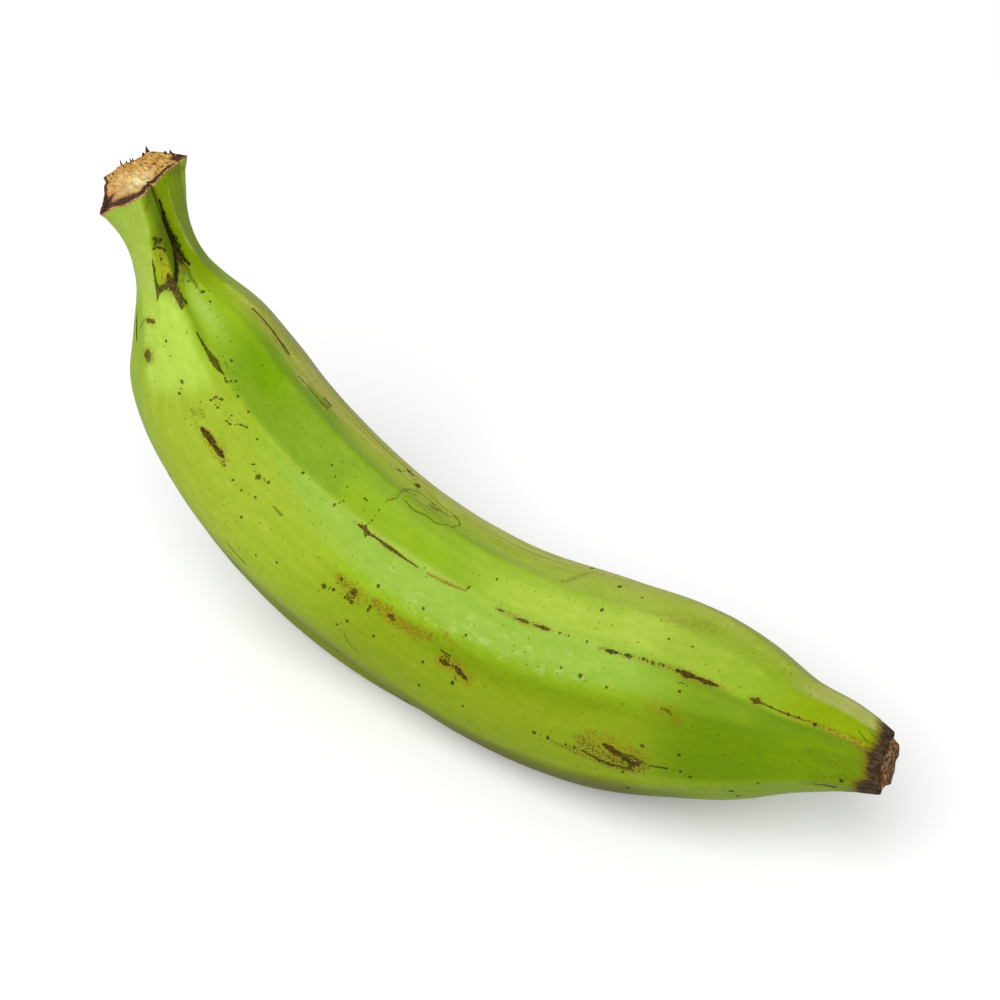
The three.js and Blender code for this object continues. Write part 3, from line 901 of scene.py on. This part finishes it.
def skin_material():
    shader = Shader("peel")
    at = shader.vector("straight")
    colour = SKIN_GREEN
    for name, tint in TINTS.items():
        colour = shader.mix(shader.number(name), colour, linear(*tint))
    streaks = shader.noise(at, (16, 2.2, 2.2), 3)
    mottle = shader.noise(at, (5, 2.4, 2.4), 4)
    blotches = shader.noise(at, (2.2, 1.6, 1.6), 4, 0.65)
    fine = shader.noise(at, (0.7, 0.45, 0.45), 3)
    fibres = shader.noise(at, (3, 0.5, 0.5), 3)
    for pattern, low, high, tint in [
        (streaks, 0.35, 0.7, (0.93, 0.96, 0.82, 1)),
        (mottle, 0.4, 0.75, (1.12, 1.07, 1.25, 1)),
        (blotches, 0.45, 0.75, (0.92, 0.96, 0.84, 1)),
        (fine, 0.35, 0.7, (0.93, 0.95, 0.86, 1)),
    ]:
        colour = shader.mix(shader.fade(pattern, low, high), colour, tint, "MULTIPLY")
    colour = lined(shader, at, colour)
    # Painted highlight: a pale colour on the crinkled band, where the light is reflected. The band
    # also gets small bumps.
    crinkle = shader.fade(shader.noise(at, (4.5, 2.2, 2.2), 5, 0.62), 0.5, 0.68)
    shine = shader.times(shader.number("crinkled_sheen"), crinkle)
    colour = shader.mix(shader.times(shine, 0.35), colour, linear(192, 218, 120))
    colour = pricked(shader, at, colour)
    _, colour = marked(shader, at, colour, "stain", grain=1.3, fray=2.6, soft=0.7, speckle=0.8)
    scar, colour = marked(shader, at, colour, "scar", grain=0.8, fray=2.2, soft=0.3, speckle=0.16)
    dry, colour = dried(shader, at, colour, fibres)
    colour = rimmed(shader, at, colour)
    height = shader.add(shader.times(fine, 0.05), shader.times(mottle, 0.1),
                        shader.times(fibres, shader.times(dry, 0.3)),
                        shader.times(shine, 0.08), shader.times(scar, -0.06))
    worn = shader.math("MAXIMUM", scar, dry)
    roughness = shader.add(shader.times(worn, 0.25), shader.add(0.38, shader.times(mottle, 0.16)))
    return shader.finish(colour, roughness, height, gloss=0.07)


# ---- Cut end of the stalk ----

PITH_ROWS = 70
PITH_COLUMNS = 200
PITH_MARGIN = 0.03  # share of the skin's radius by which the pith runs in under the dried edge

# Torn fibres that stand up at the edge of the cut: angle, share of the radius, height in mm.
HAIRS = [
    (168, 0.96, 2), (152, 0.95, 1.2), (142, 0.92, 1.8), (137, 0.96, 1), (118, 0.94, 1.2),
    (112, 0.96, 2.3), (94, 0.95, 1.3), (88, 0.96, 1.6), (83, 0.91, 1), (78, 0.95, 1),
    (-152, 0.96, 0.8), (-176, 0.95, 0.6),
]


def make_pith(offset):
    share, angle = even_grid(0.02, PITH_ROWS, PITH_COLUMNS)
    width = rim_share(angle) + PITH_MARGIN
    radius = skin_radius(0 * share, angle) * share * width
    a = np.radians(angle)
    face = np.stack([radius * np.cos(a), radius * np.sin(a), 0 * a], -1)
    far_edge = np.abs(turned(angle, 150))
    torn = fade(far_edge, 85, 50)
    lift = 0.25 * noise(face / 1.8, 21) + 0.2 * noise(face / 0.7, 22) - 0.5 * (1 - share**4)
    lift += torn * (0.35 * noise(face / 0.9, 23) - 0.3 * share)
    lift += 0.5 * fade(share, 0.75, 1) * (1 - torn) - cut_edge(angle, 0) * share**2
    hairs = sum(size * hump(turned(angle, turn), 0, 1.5) * hump(share, at, 0.02)
                for turn, at, size in HAIRS)
    lift -= hairs
    top = surface(0, angle, share * width, lift, cut_edge(angle, 1) * share)
    under = surface(0, angle[:2], np.array([[0.93], [0.3]]) * width[:2], 2.4)
    low_left = between(angle, -108, -44, 14)
    masks = {
        "band": 1.15 * low_left * fade(share, 0.5, 0.95)
        + 1.1 * fade(share, 0.7, 0.84) * between(angle, -46, 78, 10)
        + 0.7 * fade(share, 0.9, 0.97) * fade(np.abs(turned(angle, -132)), 34, 26),
        "cream": hump(face[..., 1], -1.5, 4) * hump(face[..., 0], 0.5, 2.6),
        "salmon": fade(face[..., 1], -2, -8),
        "torn": torn * fade(share, 0.35, 0.9),
        "pitted": fade(face[..., 1], -3, 5) * fade(share, 0.25, 0.5),
        "hairs": hairs,
    }
    attributes = {name: np.pad(mask, [(0, 2), (0, 0)], mode="edge") for name, mask in masks.items()}
    attributes["face"] = np.pad(face, [(0, 2), (0, 0), (0, 0)])
    return np.concatenate([top, under]) + offset, attributes


def pith_material():
    shader = Shader("stalk_cut")
    at = shader.vector("face")
    fibres = shader.noise(at, (1.6, 0.6, 1), 5, 0.65)
    pits = shader.noise(at, (1.3, 0.8, 1), 4, 0.6)
    lumps = shader.noise(at, (2.4, 2, 1), 3)
    colour = shader.ramp(fibres, {0.34: (148, 94, 34), 0.44: (208, 158, 80),
                                  0.55: (232, 194, 116), 0.68: (248, 224, 164)})
    torn, pitted = shader.number("torn"), shader.number("pitted")
    salmon = shader.times(shader.number("salmon"), shader.fade(lumps, 0.7, 0.4))
    cream = shader.times(shader.number("cream"), shader.fade(lumps, 0.35, 0.55))
    golden = shader.times(pitted, shader.fade(lumps, 0.42, 0.6))
    dark_pits = shader.times(shader.math("MAXIMUM", torn, pitted), shader.fade(pits, 0.48, 0.41))
    speckle = shader.fade(pits, 0.37, 0.3)
    edge = shader.times(torn, shader.fade(lumps, 0.4, 0.62))
    for cover, strength, tint in [
        (salmon, 0.8, (212, 156, 104)),
        (cream, 1, (246, 236, 178)),
        (golden, 0.5, (222, 172, 66)),
        (dark_pits, 0.9, (112, 64, 16)),
        (speckle, 0.8, (110, 70, 34)),
        (edge, 0.5, (176, 112, 62)),
    ]:
        colour = shader.mix(shader.times(cover, strength), colour, linear(*tint))
    band = shader.add(shader.number("band"), shader.times(shader.add(fibres, -0.5), 0.9))
    brown = shader.mix(shader.fade(fibres, 0.4, 0.65), linear(62, 42, 34), linear(112, 78, 54))
    colour = shader.mix(shader.fade(band, 0.2, 0.95), colour, brown)
    colour = shader.mix(shader.fade(shader.number("hairs"), 0.05, 0.4), colour, linear(62, 38, 22))
    height = shader.add(shader.times(fibres, 0.5), shader.times(pits, 0.5))
    return shader.finish(colour, 0.75, height, gloss=0.1)


# ---- Dried flower end ----

REMNANT_ROWS = 70
REMNANT_COLUMNS = 160
REMNANT_ROOT = 2.2  # mm that it starts inside the end of the skin


def make_remnant(offset):
    t, angle = even_grid(0, REMNANT_ROWS, REMNANT_COLUMNS)
    share = np.cos(t * np.pi / 2 * 0.97) ** 0.45 * REMNANT_SHARE
    lift = (REMNANT_LENGTH + REMNANT_ROOT) * np.sin(t * np.pi / 2) ** 0.8 - REMNANT_ROOT
    radius = skin_radius(LENGTH + 0 * t, angle) * share
    straight = straightened(lift, radius, angle)
    lumps = 0.9 * noise(straight / 2.6, 31) + 0.4 * noise(straight / 1.1, 32)
    rings = surface(LENGTH, angle, share, lift + 0.8 * lumps, lumps * t)
    return rings + offset, {"straight": straight}


def remnant_material():
    shader = Shader("flower_end")
    at = shader.vector("straight")
    fibres = shader.noise(at, (0.5, 2.6, 0.7), 4)
    lumps = shader.noise(at, (1.4, 1.4, 1.4), 3)
    colour = shader.ramp(fibres, {0.3: (54, 36, 22), 0.5: (104, 74, 42), 0.68: (176, 138, 90)})
    colour = shader.mix(shader.fade(lumps, 0.45, 0.3), colour, linear(44, 30, 20))
    return shader.finish(colour, 0.8, shader.times(fibres, 0.4), gloss=0.2)


# ---- Floor and light ----

FLOOR_REACH = 3
FLOOR_SHADE = 0.8  # in the light that it throws on the fruit
FLOOR_SEEN_SHADE = 0.95  # in the picture, where it also glows, to be white but for its shadow
FLOOR_GLOW = 0.12
FLOOR_WHITENS = (0.5, 1.3)  # distances over which its glow rises to white
WORLD_LEVEL = 0.46  # 1 in the picture


def add_floor():
    mesh = bpy.data.meshes.new("floor")
    a, b = -FLOOR_REACH, FLOOR_REACH
    mesh.from_pydata([(a, a, 0), (b, a, 0), (b, b, 0), (a, b, 0)], [], [(0, 1, 2, 3)])
    floor = placed("floor", mesh)
    shader = Shader("floor")
    seen = shader.node("LightPath", {}, "Is Camera Ray")
    pale = shader.mix(seen, grey(FLOOR_SHADE), grey(FLOOR_SEEN_SHADE))
    diffuse = shader.node("BsdfDiffuse", {"Color": pale})
    distance = shader.vector_math("LENGTH", shader.node("NewGeometry", {}, "Position"))
    far_off = shader.times(shader.fade(distance, *FLOOR_WHITENS), 1 - FLOOR_GLOW)
    strength = shader.times(seen, shader.add(far_off, FLOOR_GLOW))
    glow = shader.node("Emission", {"Color": grey(1), "Strength": strength})
    mesh.materials.append(shader.show(shader.node("AddShader", {0: diffuse, 1: glow})))


def add_light(name, place, aim, size, power):
    lamp = placed(name, bpy.data.lights.new(name, "AREA"))
    lamp.data.shape = "DISK"
    lamp.data.size = size
    lamp.data.energy = power
    lamp.location = place
    lamp.rotation_euler = (Vector(place) - Vector(aim)).to_track_quat("Z", "Y").to_euler()


def add_world():
    world = bpy.data.worlds.new("world")
    world.use_nodes = True
    background = world.node_tree.nodes["Background"]
    background.inputs["Color"].default_value = grey(1)
    seen = world.node_tree.nodes.new("ShaderNodeLightPath").outputs["Is Camera Ray"]
    strength = world.node_tree.nodes.new("ShaderNodeMapRange")
    strength.inputs["To Min"].default_value = WORLD_LEVEL
    world.node_tree.links.new(seen, strength.inputs["Value"])
    world.node_tree.links.new(strength.outputs[0], background.inputs["Strength"])
    bpy.context.scene.world = world


# ---- Scene ----

add_camera()
offset = offset_to_cad()
add_piece("peel", *make_skin(offset), skin_material())
add_piece("stalk_cut", *make_pith(offset), pith_material())
add_piece("flower_end", *make_remnant(offset), remnant_material())
add_floor()
add_light("key", place=(0.2, -1.15, 1.9), aim=(0, 0, 0.05), size=1.9, power=40)
add_world()
bpy.context.scene.view_settings.view_transform = "Standard"
